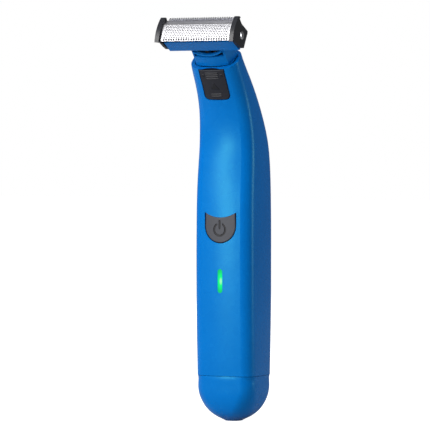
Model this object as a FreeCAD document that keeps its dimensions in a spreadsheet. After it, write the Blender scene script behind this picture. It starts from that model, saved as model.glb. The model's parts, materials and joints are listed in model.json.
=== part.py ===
import FreeCAD, Part
import Sketcher
import math
import os
from FreeCAD import Placement, Rotation, Vector

# Body groomer, millimetres. Z runs up the straight part of the handle, X is the width of
# the head, and the buttons face -Y. The origin is the mouth of the charging socket.

doc = FreeCAD.newDocument("BodyGroomer")
sheet = doc.addObject("Spreadsheet::Sheet", "dims")

DIMENSIONS = [
    # handle
    ("shell_wall", 2.0), ("collar_wall", 1.6), ("corner_radius", 5.2),
    ("side_crown", 90.0), ("back_crown", 60.0), ("seam_height", 19.2),
    # cap
    ("cap_straight", 13.05), ("spigot_height", 4.0), ("spigot_wall", 1.5), ("spigot_play", 0.15),
    ("seal_width", 0.9),
    # charging socket
    ("socket_bore", 1.75), ("socket_radius", 2.9), ("socket_depth", 9.0), ("socket_length", 11.0),
    # power supply and electronics
    ("cell_radius", 7.05), ("cell_length", 48.5), ("cell_y", 2.2), ("cell_bottom", 27.0),
    ("board_width", 17.0), ("board_thickness", 1.0), ("board_y", -6.4), ("board_bottom", 28.0),
    ("board_length", 58.0),
    # power button, indicator
    ("button_bottom", 74.2), ("button_top", 87.1), ("button_half_width", 7.35),
    ("button_top_radius", 13.5), ("button_gap", 0.25),
    ("lens_width", 2.2), ("lens_length", 9.9), ("lens_height", 58.6),
    # drive
    ("motor_radius", 7.7), ("motor_length", 24.0), ("motor_bottom", 86.5), ("motor_y", 0.8),
    ("shaft_radius", 1.0), ("eccentric_radius", 3.0), ("crank_offset", 0.6), ("crank_radius", 0.8),
    ("pivot_y", -6.0), ("pivot_z", 132.5), ("pivot_tilt", 26.0), ("pivot_radius", 1.0),
    ("running_play", 0.05), ("drive_pin_radius", 1.1),
    # collar and head
    ("plug_play", 0.4), ("plug_wall", 1.2), ("plug_insertion", 4.5),
    ("window_half_width", 6.7), ("tray_half_length", 16.05), ("tray_end_wall", 1.6),
    ("hinge_y", -26.6), ("hinge_z", 159.4), ("hinge_radius", 1.1), ("pin_head_radius", 1.65),
    ("plate_inside", 16.25), ("plate_outside", 17.5), ("strip_inside", 16.15),
    ("strip_outside", 18.1), ("strip_radius", 16.85), ("strip_thickness", 1.19),
    ("foil_center_y", -18.82), ("foil_center_z", 154.42), ("foil_radius", 15.65),
    ("foil_thickness", 0.15), ("cutter_half_length", 12.9),
    ("blade_pitch", 1.2), ("blade_thickness", 0.25), ("blade_count", 21),
    ("tooth_pitch", 1.05), ("tooth_gap", 0.5), ("tooth_count", 30),
    # release button
    ("release_y", -16.9), ("release_z", 140.1), ("release_tilt", 30.0),
    ("release_half_width", 6.0), ("release_above", 6.8), ("release_below", 7.2), ("release_gap", 0.25),
    ("release_corner", 2.2), ("release_depth", 2.0),
]

# Sections of the handle: centre y and z, tilt, then the distance from the centre to the middle
# of the side, front and back faces, and the radius that the front is crowned to.
STATIONS = [
    (0.15, 19.2, 0.0, 13.55, 11.7, 11.4, 60.0),
    (0.15, 32.0, 0.0, 13.65, 12.1, 11.8, 60.0),
    (0.20, 46.0, 0.0, 13.7, 12.45, 12.15, 60.0),
    (0.20, 60.0, 0.0, 13.7, 12.6, 12.3, 60.0),
    (0.20, 74.0, 0.0, 13.7, 12.6, 12.3, 60.0),
    (0.25, 88.0, 0.0, 13.65, 12.5, 12.2, 60.0),
    (0.35, 101.0, 1.0, 13.5, 12.0, 11.8, 55.0),
    (0.25, 111.9, 5.0, 13.15, 11.2, 11.05, 48.0),
    (-1.45, 122.3, 12.0, 12.6, 9.9, 9.5, 42.0),
    (-4.28, 131.05, 22.0, 12.0, 8.8, 8.0, 36.0),
    (-9.0, 140.1, 31.5, 11.45, 7.8, 6.9, 30.0),
    (-15.45, 150.35, 40.0, 10.9, 7.1, 6.2, 27.0),
]
STATION_WORDS = ("y", "z", "tilt", "side", "front", "back", "crown")

# Sections of the bottom cap, from the seam down to the flat that it stands on, written the same
# way with the radius of the corners last.
CAP_STATIONS = [
    (0.15, 19.05, 0.0, 13.45, 11.6, 11.3, 60.0, 5.2),
    (0.15, 15.5, 0.0, 13.43, 11.58, 11.28, 60.0, 5.5),
    (0.15, 12.0, 0.0, 13.33, 11.45, 11.15, 60.0, 6.1),
    (0.15, 8.5, 0.0, 12.55, 11.0, 10.7, 50.0, 7.4),
    (0.15, 5.5, 0.0, 11.0, 10.0, 9.75, 40.0, 7.8),
    (0.15, 3.0, 0.0, 8.7, 8.35, 8.15, 30.0, 7.2),
    (0.15, 1.2, 0.0, 5.75, 5.85, 5.7, 20.0, 5.2),
    (0.15, 0.0, 0.0, 3.3, 3.5, 3.4, 12.0, 3.0),
]
CAP_WORDS = STATION_WORDS + ("corner",)


class Size:
    """A number from the sheet together with the expression that gives it."""

    def __init__(self, value, text):
        self.value = float(value)
        self.text = text

    def join(self, other, sign, value):
        return Size(value, "(%s %s %s)" % (self.text, sign, textOf(other)))

    def __add__(self, other):
        return self.join(other, "+", self.value + number(other))

    def __sub__(self, other):
        return self.join(other, "-", self.value - number(other))

    def __mul__(self, other):
        return self.join(other, "*", self.value * number(other))

    def __radd__(self, other):
        return self + other

    def __rsub__(self, other):
        return Size(number(other) - self.value, "(%s - %s)" % (textOf(other), self.text))

    def __neg__(self):
        return Size(-self.value, "(-1 * %s)" % self.text)


def number(q):
    return q.value if isinstance(q, Size) else float(q)


def textOf(q):
    return q.text if isinstance(q, Size) else "(%.6g)" % q


def fillSheet():
    """Write every driving dimension into an aliased cell and return them as sizes."""
    rows = list(DIMENSIONS)
    for kind, words, stations in (("station", STATION_WORDS, STATIONS), ("cap", CAP_WORDS, CAP_STATIONS)):
        for k, station in enumerate(stations):
            rows += [("%s_%d_%s" % (kind, k, word), q) for word, q in zip(words, station)]
    for row, (alias, value) in enumerate(rows, 1):
        sheet.set("A%d" % row, alias.replace("_", " "))
        sheet.set("B%d" % row, "%g" % value)
        sheet.setAlias("B%d" % row, alias)
    doc.recompute()
    return {alias: Size(value, "dims." + alias) for alias, value in rows}


size = fillSheet()


def bind(obj, prop, q):
    if isinstance(q, Size):
        obj.setExpression(prop, q.text)


def setPlace(obj, x, y, z, rotation, frame):
    """Put an object at a place in a frame; only places in the part's own frame stay bound."""
    here = Placement(Vector(number(x), number(y), number(z)), rotation)
    if frame:
        obj.Placement = frame.multiply(here)
        return obj
    obj.Placement = here
    for letter, q in zip("xyz", (x, y, z)):
        bind(obj, "Placement.Base." + letter, q)
    return obj


def box(name, x, y, z, frame=None):
    """A box between two values along each axis, each given as (low, high)."""
    obj = doc.addObject("Part::Box", name)
    for prop, (low, high) in zip(("Length", "Width", "Height"), (x, y, z)):
        span = high - low
        setattr(obj, prop, number(span))
        bind(obj, prop, span)
    return setPlace(obj, x[0], y[0], z[0], Rotation(), frame)


TURNS = {"x": Rotation(Vector(0, 1, 0), 90), "y": Rotation(Vector(1, 0, 0), -90), "z": Rotation()}


def rod(name, radius, low, high, along="z", at=(0, 0), frame=None):
    """A cylinder between two values along an axis; at is the other two, in x, y, z order."""
    obj = doc.addObject("Part::Cylinder", name)
    obj.Radius = number(radius)
    bind(obj, "Radius", radius)
    span = high - low
    obj.Height = number(span)
    bind(obj, "Height", span)
    place = {"x": (low, at[0], at[1]), "y": (at[0], low, at[1]), "z": (at[0], at[1], low)}[along]
    return setPlace(obj, *place, TURNS[along], frame)


def fuse(name, shapes):
    obj = doc.addObject("Part::MultiFuse", name)
    obj.Shapes = shapes
    obj.Refine = True
    return obj


def cut(name, base, tools):
    obj = doc.addObject("Part::Cut", name)
    obj.Base = base
    obj.Tool = tools[0] if len(tools) == 1 else fuse(name + "_tools", tools)
    return obj


def common(name, first, second):
    obj = doc.addObject("Part::Common", name)
    obj.Base = first
    obj.Tool = second
    return obj


def frameAt(y, z, tilt):
    """A frame in the middle plane, tipped about X: local y is depth, local z runs upwards."""
    return Placement(Vector(0, number(y), number(z)), Rotation(Vector(1, 0, 0), number(tilt)))


def newBody(name):
    return doc.addObject("PartDesign::Body", name)


def plane(body, role):
    return next(f for f in body.Origin.OriginFeatures if f.Role == role)


def sketchOn(body, name, role, offset=None):
    sketch = body.newObject("Sketcher::SketchObject", name)
    sketch.AttachmentSupport = (plane(body, role), "")
    sketch.MapMode = "FlatFace"
    if offset:
        sketch.AttachmentOffset = offset
    return sketch


def outline(sketch, corners):
    """A closed outline. Each corner is (x, y) or (x, y, radius): a radius makes the edge that
    leaves the corner an arc, positive bulging to the right of the way round."""
    points = [Vector(number(c[0]), number(c[1]), 0) for c in corners]
    count = len(corners)
    starts = []
    for k, corner in enumerate(corners):
        here, there = points[k], points[(k + 1) % count]
        if len(corner) == 3:
            edge = arcBetween(here, there, number(corner[2]))
        else:
            edge = Part.LineSegment(here, there)
        index = sketch.addGeometry(edge, False)
        start = sketch.Geometry[index].StartPoint
        forward = start.distanceToPoint(here) <= start.distanceToPoint(there)
        starts.append((index, 1, 2) if forward else (index, 2, 1))
    for k, corner in enumerate(corners):
        index, first, last = starts[k]
        after, afterFirst, _ = starts[(k + 1) % count]
        sketch.addConstraint(Sketcher.Constraint("Coincident", index, last, after, afterFirst))
        fixPoint(sketch, index, first, corner)
        if len(corner) == 3:
            fixArc(sketch, index, corner, points[(k + 1) % count] - points[k])


def arcBetween(here, there, radius):
    chord = there.sub(here)
    rise = abs(radius) - math.sqrt(max(radius * radius - chord.Length ** 2 / 4, 0))
    outward = Vector(chord.y, -chord.x, 0).normalize()
    middle = (here + there) * 0.5 + outward * math.copysign(rise, radius)
    ends = (here, there) if radius > 0 else (there, here)
    return Part.Arc(ends[0], middle, ends[1])


def fixArc(sketch, index, corner, chord):
    """Hold an arc by its radius, or a half circle, whose chord is level, by its centre."""
    radius = abs(number(corner[2]))
    if abs(chord.Length - 2 * radius) < 1e-6:
        fixed = sketch.addConstraint(Sketcher.Constraint("DistanceY", index, 3, number(corner[1])))
        bind(sketch, "Constraints[%d]" % fixed, corner[1])
    else:
        fixed = sketch.addConstraint(Sketcher.Constraint("Radius", index, radius))
        if number(corner[2]) > 0:
            bind(sketch, "Constraints[%d]" % fixed, corner[2])


def fixPoint(sketch, index, end, corner):
    for kind, q in (("DistanceX", corner[0]), ("DistanceY", corner[1])):
        fixed = sketch.addConstraint(Sketcher.Constraint(kind, index, end, number(q)))
        bind(sketch, "Constraints[%d]" % fixed, q)


# Directions that a sketch pad grows in, and how sketch axes lie in the body:
# XZ_Plane: sketch (x, y) is (X, Z) and the pad grows along -Y.
# YZ_Plane: sketch (x, y) is (Y, Z) and the pad grows along +X.
def pad(body, sketch, length, midplane=False, taper=0):
    feature = body.newObject("PartDesign::Pad", sketch.Name + "_pad")
    feature.Profile = sketch
    feature.Length = number(length)
    bind(feature, "Length", length)
    feature.Midplane = midplane
    feature.TaperAngle = taper
    sketch.Visibility = False
    return feature


def prism(name, role, corners, low, high):
    """A padded outline between two distances along its plane's normal, +Y for XZ_Plane."""
    body = newBody(name)
    flip = -1 if role == "XZ_Plane" else 1
    start = high * flip if flip < 0 else low
    sketch = sketchOn(body, name + "_outline", role, Placement(Vector(0, 0, number(start)), Rotation()))
    bind(sketch, "AttachmentOffset.Base.z", start)
    outline(sketch, corners)
    pad(body, sketch, high - low)
    return body


def profileX(name, corners, half):
    """A (Y, Z) outline padded to both sides of the middle plane."""
    body = newBody(name)
    sketch = sketchOn(body, name + "_outline", "YZ_Plane")
    outline(sketch, corners)
    pad(body, sketch, half * 2, midplane=True)
    return body


# ---- handle ----

def sectionArcs(station, inset):
    """Centre and radius of each crowned face, in the order front, right, back, left."""
    side, front, back = (size["%s_%s" % (station, word)] - inset for word in ("side", "front", "back"))
    frontRadius = size[station + "_crown"] - inset
    sideRadius = size["side_crown"] - inset
    backRadius = size["back_crown"] - inset
    return [(0, frontRadius - front, frontRadius), (side - sideRadius, 0, sideRadius),
            (0, back - backRadius, backRadius), (sideRadius - side, 0, sideRadius)]


def cornerCenter(first, second, corner, quadrant):
    """The centre of a corner arc that touches two crowned faces from inside."""
    a = Vector(number(first[0]), number(first[1]), 0)
    b = Vector(number(second[0]), number(second[1]), 0)
    ra, rb = number(first[2]) - corner, number(second[2]) - corner
    between = b - a
    along = (ra * ra - rb * rb + between.Length ** 2) / (2 * between.Length)
    across = math.sqrt(ra * ra - along * along)
    unit = Vector(between).normalize()
    normal = Vector(-unit.y, unit.x, 0)
    choices = [a + unit * along + normal * across, a + unit * along - normal * across]
    return max(choices, key=lambda p: p.x * quadrant[0] + p.y * quadrant[1])


def crownedSection(sketch, station, inset, corner):
    """Four crowned faces joined by four tangent corner arcs."""
    faces = sectionArcs(station, inset)
    radius = number(corner)
    quadrants = [(1, -1), (1, 1), (-1, 1), (-1, -1)]
    centers = [cornerCenter(faces[i], faces[(i + 1) % 4], radius, quadrants[i]) for i in range(4)]
    for i, (x, y, r) in enumerate(faces):
        middle = Vector(number(x), number(y), 0)
        ends = [middle + (c - middle).normalize() * number(r) for c in (centers[i - 1], centers[i])]
        nose = middle + ((ends[0] + ends[1]) * 0.5 - middle).normalize() * number(r)
        sketch.addGeometry(Part.Arc(ends[0], nose, ends[1]), False)
        after = faces[(i + 1) % 4]
        nextMiddle = Vector(number(after[0]), number(after[1]), 0)
        start = middle + (centers[i] - middle).normalize() * number(r)
        end = nextMiddle + (centers[i] - nextMiddle).normalize() * number(after[2])
        outward = ((start + end) * 0.5 - centers[i]).normalize()
        sketch.addGeometry(Part.Arc(start, centers[i] + outward * radius, end), False)
    for i in range(8):
        sketch.addConstraint(Sketcher.Constraint("Tangent", i, 2, (i + 1) % 8, 1))
    for i, (x, y, r) in enumerate(faces):
        for kind, index, q in (("DistanceX", 2 * i, x), ("DistanceY", 2 * i, y)):
            fixed = sketch.addConstraint(Sketcher.Constraint(kind, index, 3, number(q)))
            bind(sketch, "Constraints[%d]" % fixed, q)
        for index, q in ((2 * i, r), (2 * i + 1, corner)):
            fixed = sketch.addConstraint(Sketcher.Constraint("Radius", index, number(q)))
            bind(sketch, "Constraints[%d]" % fixed, q)


def sectionLoft(name, levels):
    """A loft through sections, each given as (station, inset, corner radius, rise along Z)."""
    body = newBody(name)
    sketches = []
    for k, (station, inset, corner, rise) in enumerate(levels):
        y, z, tilt = (size["%s_%s" % (station, word)] for word in ("y", "z", "tilt"))
        height = z + rise
        sketch = sketchOn(body, "%s_section_%d" % (name, k), "XY_Plane", frameAt(y, height, tilt))
        bind(sketch, "AttachmentOffset.Base.y", y)
        bind(sketch, "AttachmentOffset.Base.z", height)
        crownedSection(sketch, station, inset, corner - inset)
        sketches.append(sketch)
    doc.recompute()
    loft = body.newObject("PartDesign::AdditiveLoft", name + "_loft")
    loft.Profile = sketches[0]
    loft.Sections = sketches[1:]
    doc.recompute()
    return body


def handleLoft(name, insets):
    """The crowned tube through all sections, inset by one amount per section."""
    return sectionLoft(name, [("station_%d" % k, inset, size["corner_radius"], 0)
                              for k, inset in enumerate(insets)])


wall = size["shell_wall"]
insets = [wall] * (len(STATIONS) - 2) + [wall - 0.2, size["collar_wall"]]
skin = handleLoft("skin", [0] * len(STATIONS))
hollow = handleLoft("hollow", insets)
shell = cut("shell", skin, [hollow])


def shieldCorners(inset):
    """Round-bottomed button outline with two horns and a hollow top edge, in (X, Z)."""
    half = size["button_half_width"] - inset
    low = size["button_bottom"] + size["button_half_width"]
    high = size["button_top"] - inset
    return [(-half, high), (-half, low, half), (half, low), (half, high, hollowRadius(inset))]


def hollowRadius(inset):
    """The top edge is hollow: it bends towards the middle of the button."""
    return -1 * (number(size["button_top_radius"]) + number(inset))


buttonHole = prism("button_hole", "XZ_Plane", shieldCorners(0), size["board_y"] - 14, size["board_y"])
lensHalf = size["lens_width"] * 0.5
lensRise = size["lens_length"] * 0.5 - lensHalf
lensHigh = size["lens_height"] + lensRise
lensLow = size["lens_height"] - lensRise


def slotCorners(inset):
    half = lensHalf - inset
    return [(-half, lensHigh), (-half, lensLow, half), (half, lensLow), (half, lensHigh, half)]


lensHole = prism("lens_hole", "XZ_Plane", slotCorners(0), size["board_y"] - 14, size["board_y"])


def releaseCorners(inset):
    """Release button outline in (X, along the neck): square top corners, rounded lower ones."""
    half = size["release_half_width"] - inset
    top = size["release_above"] - inset
    low = inset - size["release_below"]
    corner = size["release_corner"] - inset
    return [(-half, top), (-half, low + corner, corner), (-half + corner, low),
            (half - corner, low, corner), (half, low + corner), (half, top, 60)]


releaseFrame = frameAt(size["release_y"], size["release_z"], size["release_tilt"])


def releasePrism(name, inset, low, high):
    body = prism(name, "XZ_Plane", releaseCorners(inset), low, high)
    body.Placement = releaseFrame
    return body


deep = size["release_depth"] + 4
releaseHole = releasePrism("release_hole", 0, -deep, deep)
housing = cut("housing", shell, [buttonHole, lensHole, releaseHole])


# ---- bottom cap, seal and socket ----

def capLoft(name, inset, count):
    """The cap through its first sections; an inset one keeps its floor as thick as its wall."""
    levels = []
    for k in range(count):
        station = "cap_%d" % k
        share = max(0.0, 1 - number(size[station + "_z"]) / number(size["cap_straight"]))
        levels.append((station, inset, size[station + "_corner"], inset * share))
    return sectionLoft(name, levels)


capOuter = capLoft("cap_outer", 0, len(CAP_STATIONS))
capInner = capLoft("cap_inner", wall, len(CAP_STATIONS) - 1)


def tubeSlice(name, inset, low, high):
    """A straight slice with the tube's section at the seam, inset all round."""
    body = newBody(name)
    middle = size["station_0_y"]
    place = Placement(Vector(0, number(middle), number(low)), Rotation())
    sketch = sketchOn(body, name + "_section", "XY_Plane", place)
    bind(sketch, "AttachmentOffset.Base.y", middle)
    bind(sketch, "AttachmentOffset.Base.z", low)
    crownedSection(sketch, "station_0", inset, size["corner_radius"] - inset)
    pad(body, sketch, high - low)
    return body


seam = size["seam_height"]
spigotTop = seam + size["spigot_height"]
spigotOut = wall + size["spigot_play"]
spigotIn = spigotOut + size["spigot_wall"]
groove = size["seal_width"]
spigot = tubeSlice("spigot", spigotOut, seam - 4, spigotTop)
sealGrooveOut = tubeSlice("seal_groove_outside", spigotOut - 0.1, seam + 1.2, seam + 1.2 + groove)
sealGrooveIn = tubeSlice("seal_groove_inside", spigotOut + 0.7, seam + 1, seam + 1.4 + groove)
sealGroove = cut("seal_groove", sealGrooveOut, [sealGrooveIn])
socketSeat = rod("socket_seat", size["socket_radius"], -1, size["socket_length"] + 4)
socketPost = rod("socket_post", size["socket_radius"] + 1.4, wall - 0.6, size["socket_depth"])
capRoom = tubeSlice("cap_room", spigotIn, seam - 7, spigotTop + 1)
capBlank = fuse("cap_blank", [capOuter, spigot])
aboveShoulder = box("above_shoulder", (-30, 30), (-30, 30), (seam - 3, seam + 9))
capInnerLow = cut("cap_inner_low", capInner, [aboveShoulder])
capHollow = fuse("cap_hollow", [capInnerLow, capRoom])
capShell = cut("cap_shell", capBlank, [capHollow])
capWithPost = fuse("cap_with_post", [capShell, socketPost])
bottomCap = cut("bottom_cap", capWithPost, [sealGroove, socketSeat])
sealRing = tubeSlice("seal_ring_outside", wall + 0.02, seam + 1.25, seam + 1.15 + groove)
sealRoom = tubeSlice("seal_ring_inside", spigotOut + 0.65, seam + 1, seam + 1.4 + groove)
capSeal = cut("cap_seal", sealRing, [sealRoom])

socketBody = rod("socket_body", size["socket_radius"] - 0.02, 0, size["socket_length"])
socketBore = rod("socket_bore_hole", size["socket_bore"], -1, size["socket_depth"])
chargeSocket = cut("charge_socket", socketBody, [socketBore])


# ---- chassis, battery and electronics ----

cellTop = size["cell_bottom"] + size["cell_length"]
rail = (8.0, 9.6)
railY = (-3.0, 5.0)
chassisLow = size["cell_bottom"] - 2.2
motorTop = size["motor_bottom"] + size["motor_length"]
chassisHigh = motorTop + 1.8


def shelf(name, low, high):
    return box(name, (-9.6, 9.6), (-5.0, 6.5), (low, high))


chassisParts = [box("rail_right", rail, railY, (chassisLow, chassisHigh)),
                box("rail_left", (-rail[1], -rail[0]), railY, (chassisLow, chassisHigh)),
                shelf("shelf_low", chassisLow, size["cell_bottom"] - 0.6),
                shelf("shelf_middle", cellTop + 2.0, cellTop + 3.6),
                shelf("shelf_motor", motorTop, chassisHigh)]
chassisBlank = fuse("chassis_blank", chassisParts)
motorAt = (0, size["motor_y"])
cellAt = (0, size["cell_y"])
shaftHole = rod("shaft_hole", size["shaft_radius"] + 2, motorTop - 1, chassisHigh + 1, at=motorAt)
screwX = 5.6
screwHoles = [rod("screw_hole_%d" % k, size["shaft_radius"] * 0.8, motorTop - 1, chassisHigh + 1,
                  at=(x, size["motor_y"])) for k, x in enumerate((-screwX, screwX))]
motorRoom = rod("motor_room", size["motor_radius"] + 0.3, cellTop + 3.6, motorTop, at=motorAt)
cellRoom = rod("cell_room", size["cell_radius"] + 0.3, chassisLow + 1.4, cellTop + 2.0, at=cellAt)
chassis = cut("chassis", chassisBlank, [shaftHole, motorRoom, cellRoom] + screwHoles)

battery = rod("battery", size["cell_radius"], size["cell_bottom"], cellTop, at=cellAt)
tabs = [box("tab_%d" % k, (-3, 3), (-2.0, size["cell_y"] + 3), (low, low + 0.2))
        for k, low in enumerate((size["cell_bottom"] - 0.2, cellTop))]
batteryTabs = fuse("battery_tabs", tabs)

boardBack = size["board_y"] + size["board_thickness"]
boardTop = size["board_bottom"] + size["board_length"]
boardHalf = size["board_width"] * 0.5
mainBoard = box("main_board", (-boardHalf, boardHalf), (size["board_y"], boardBack),
                (size["board_bottom"], boardTop))
switchZ = size["button_bottom"] + 6.2
tactCase = box("tact_case", (-3, 3), (size["board_y"] - 1.1, size["board_y"]), (switchZ - 3, switchZ + 3))
tactStem = rod("tact_stem", size["shaft_radius"] + 0.5, size["board_y"] - 1.5, size["board_y"] - 1.1,
               along="y", at=(0, switchZ))
tactSwitch = fuse("tact_switch", [tactCase, tactStem])
indicatorLed = box("indicator_led", (-0.8, 0.8), (size["board_y"] - 0.8, size["board_y"]),
                   (size["lens_height"] - 1.5, size["lens_height"] + 1.5))
lensRod = prism("lens_rod", "XZ_Plane", slotCorners(0.03), size["board_y"] - 14, size["board_y"] - 1.3)
indicatorLens = common("indicator_lens", lensRod, skin)

# ---- power button ----

buttonRod = prism("button_rod", "XZ_Plane", shieldCorners(size["button_gap"]), size["board_y"] - 14,
                  size["board_y"] - 2.7)
buttonCap = common("button_cap", buttonRod, skin)
flangeY = (size["board_y"] - 3.3, size["board_y"] - 2.7)
buttonFlange = prism("button_flange_plate", "XZ_Plane", shieldCorners(-0.4), *flangeY)
powerButton = fuse("power_button", [buttonCap, buttonFlange])
buttonPad = rod("button_pad", size["shaft_radius"] + 3, size["board_y"] - 2.7, size["board_y"] - 2.2,
                along="y", at=(0, switchZ))


# ---- motor and rotor ----

motor = rod("motor", size["motor_radius"], size["motor_bottom"], motorTop, at=motorAt)
motorBore = rod("motor_bore", size["shaft_radius"] + size["running_play"], motorTop - 6, motorTop + 1,
                at=motorAt)
motorCan = cut("motor_can", motor, [motorBore])
hubLow = chassisHigh + 0.5
hubHigh = hubLow + 3.4
motorShaft = rod("motor_shaft", size["shaft_radius"], motorTop - 5.5, hubHigh - 0.4, at=motorAt)
hubDisc = rod("hub_disc", size["eccentric_radius"], hubLow, hubHigh, at=motorAt)
hubBore = rod("hub_bore", size["shaft_radius"], hubLow - 1, hubHigh - 0.4, at=motorAt)
hub = cut("hub", hubDisc, [hubBore])
crankPin = rod("crank_pin", size["crank_radius"], hubHigh - 0.2, hubHigh + 4.6,
               at=(size["crank_offset"], size["motor_y"]))
driveEccentric = fuse("drive_eccentric", [hub, crankPin])
chassisScrews = fuse("chassis_screws", [
    fuse("screw_%d" % k, [rod("screw_shank_%d" % k, size["shaft_radius"] * 0.8, motorTop, chassisHigh + 0.1,
                              at=(x, size["motor_y"])),
                          rod("screw_head_%d" % k, size["shaft_radius"] * 1.5, chassisHigh, chassisHigh + 0.9,
                              at=(x, size["motor_y"]))])
    for k, x in enumerate((-screwX, screwX))])


# ---- drive lever in the neck ----

collar = "station_%d" % (len(STATIONS) - 1)
pivotFrame = frameAt(size["pivot_y"], size["pivot_z"], size["pivot_tilt"])
collarFrame = frameAt(size[collar + "_y"], size[collar + "_z"], size[collar + "_tilt"])
pivot = size["pivot_radius"]
pinRadius = size["drive_pin_radius"]
snug = 0.005

ringOuter = box("ring_outer", (-7.6, 7.6), (-3.6, 3.6), (-3.2, 3.2), pivotFrame)
ringInner = box("ring_inner", (-6.2, 6.2), (-2.3, 2.3), (-4, 4), pivotFrame)
ringBore = rod("ring_bore", pivot, -5, 5, along="y", frame=pivotFrame)
pivotRing = cut("pivot_frame", ringOuter, [ringInner, ringBore])
leverPin = rod("lever_pin", pivot - snug, -3.6, 3.6, along="y", frame=pivotFrame)

# The lever's fork hangs below the pivot; its upper end carries the drive pin, which points
# along the collar's axis.
pinFoot = -11.4
pinTip = 6.6
pinBase = pivotFrame.inverse().multVec(collarFrame.multVec(Vector(0, 0, pinFoot + 1.2)))
leverProfile = [(-1.1, -8.4), (1.1, -8.4), (1.1, 2), (pinBase.y + 1.9, pinBase.z - 0.6),
                (pinBase.y - 1.6, pinBase.z + 1.1), (-1.1, 4)]
leverBar = profileX("lever_bar", leverProfile, 2.5)
leverBar.Placement = pivotFrame
leverHub = rod("lever_hub", 3.4, -1.9, 1.9, along="y", frame=pivotFrame)
forkOut = box("fork_outside", (-3.9, 3.9), (-1.3, 1.3), (-13.6, -7.8), pivotFrame)
forkGap = box("fork_gap", (-2.3, 2.3), (-2, 2), (-14, -9.6), pivotFrame)
fork = cut("fork", forkOut, [forkGap])
leverBlank = fuse("lever_blank", [leverBar, leverHub, fork])
leverBore = rod("lever_bore", pivot + size["running_play"], -3, 3, along="y", frame=pivotFrame)
pinSeat = rod("pin_seat", pinRadius, pinFoot, 0, frame=collarFrame)
driveLever = cut("drive_lever", leverBlank, [leverBore, pinSeat])
drivePin = rod("drive_pin", pinRadius - snug, pinFoot, pinTip, frame=collarFrame)

plateSlab = box("plate_slab", (-30, 30), (-30, 30), (-6.6, -5.4), collarFrame)
plateBlank = common("plate_blank", hollow, plateSlab)
plateHole = rod("plate_hole", 2.6, -12, 0, frame=collarFrame)
plateNotch = box("plate_notch", (-6.4, 6.4), (-4, 3.6), (-3, 8), releaseFrame)
neckPlate = cut("neck_bulkhead", plateBlank, [plateHole, plateNotch])
bootOut = rod("boot_outside", 3.4, -7.4, -6.6, frame=collarFrame)
bootIn = rod("boot_inside", 2.2, -9, -5, frame=collarFrame)
driveBoot = cut("drive_boot", bootOut, [bootIn])


# ---- release button, its catch and its flat spring ----

releaseRod = releasePrism("release_rod", size["release_gap"], -6, 1.0)
releasePlate = common("release_plate", releaseRod, skin)
releaseStem = box("release_stem", (-5.0, 5.0), (0.9, 2.1), (-6.2, -1.5), releaseFrame)
releaseFlange = box("release_flange", (-6.5, 6.5), (2.0, 2.8), (-7.7, -0.9), releaseFrame)
releaseButton = fuse("release_button", [releasePlate, releaseStem, releaseFlange])
releaseCatch = box("release_catch", (-2.0, 2.0), (1.0, 2.4), (-0.8, 4.2), releaseFrame)
springTongue = box("spring_tongue", (-3.0, 3.0), (3.9, 4.15), (-5.2, -1.0), releaseFrame)
springBar = box("spring_bar", (-8.6, 8.6), (3.9, 4.15), (-6.2, -4.6), releaseFrame)
releaseSpring = fuse("release_spring", [springTongue, springBar])


# ---- head frame: plug, ears and tray in one moulding ----

def collarPrism(name, inset, low, high, corner=None):
    """A straight length of the collar's own section, inset all round, along the collar's axis."""
    body = newBody(name)
    sketch = sketchOn(body, name + "_section", "XY_Plane", Placement(Vector(0, 0, low), Rotation()))
    crownedSection(sketch, collar, inset, corner or size["corner_radius"] - inset)
    pad(body, sketch, high - low)
    body.Placement = collarFrame
    return body


plugOut = size["collar_wall"] + size["plug_play"]
plugIn = plugOut + size["plug_wall"]
headLength = size["tray_half_length"]
endWall = size["tray_end_wall"]

# Inside the collar the plug has the collar's own section; above it, it is narrower in front.
plugFoot = collarPrism("plug_foot", plugOut, -number(size["plug_insertion"]), 0.4)
plugLength = collarPrism("plug_length", plugOut, 0.3, 16, 1.2)
plugTaper = prism("plug_taper", "XY_Plane", [(-6.9, -9), (-6.9, -5.6), (-9.0, 1.0), (-9.0, 9), (9.0, 9),
                                             (9.0, 1.0), (6.9, -5.6), (6.9, -9)], -1, 17)
plugTaper.Placement = collarFrame
plugNeck = common("plug_neck", plugLength, plugTaper)
plugRod = fuse("plug_rod", [plugFoot, plugNeck])
plugSide = profileX("plug_side", [(-30, 135), (-8.6, 135), (-8.6, 146.0), (-12.5, 153.0),
                                  (-12.4, 154.6), (-23.3, 162.2),
                                  (-23.4, 160.5), (-24.6, 155.9), (-26.2, 154.25), (-30, 146)], 14)
plugBlank = common("plug_blank", plugRod, plugSide)
plugRoom = collarPrism("plug_room", plugIn, -8, 14)
plugRoof = profileX("plug_roof", [(-31, 135), (-5, 135), (-5, 147.9), (-12.4, 153.1), (-24.4, 161.5),
                                  (-31, 157.5)], 14)
plugHollow = common("plug_hollow", plugRoom, plugRoof)
trayProfile = [(-31.2, 156.75), (-25.9, 153.5), (-25.1, 153.8), (-24.5, 155.9), (-23.4, 160.4),
               (-24.4, 160.9), (-25.5, 156.5), (-26.2, 155.1), (-30.7, 157.5)]
tray = profileX("tray", trayProfile, headLength)
armProfile = [(-31.2, 156.75), (-25.9, 153.5), (-25.1, 153.8), (-24.5, 155.9), (-23.4, 160.4),
              (-24.0, 161.4), (-26.0, 162.0), (-28.2, 161.6, 30), (-29.2, 158.0), (-30.7, 157.5)]
arms = profileX("arms", armProfile, headLength)
armRoom = box("arm_room", (-headLength + endWall, headLength - endWall), (-45, -10), (140, 170))
armPair = cut("arm_pair", arms, [armRoom])
hingeAt = (size["hinge_y"], size["hinge_z"])
hingeBore = rod("hinge_bore", size["hinge_radius"] + size["running_play"], -20, 20, along="x", at=hingeAt)
windowHalf = size["window_half_width"]
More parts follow.
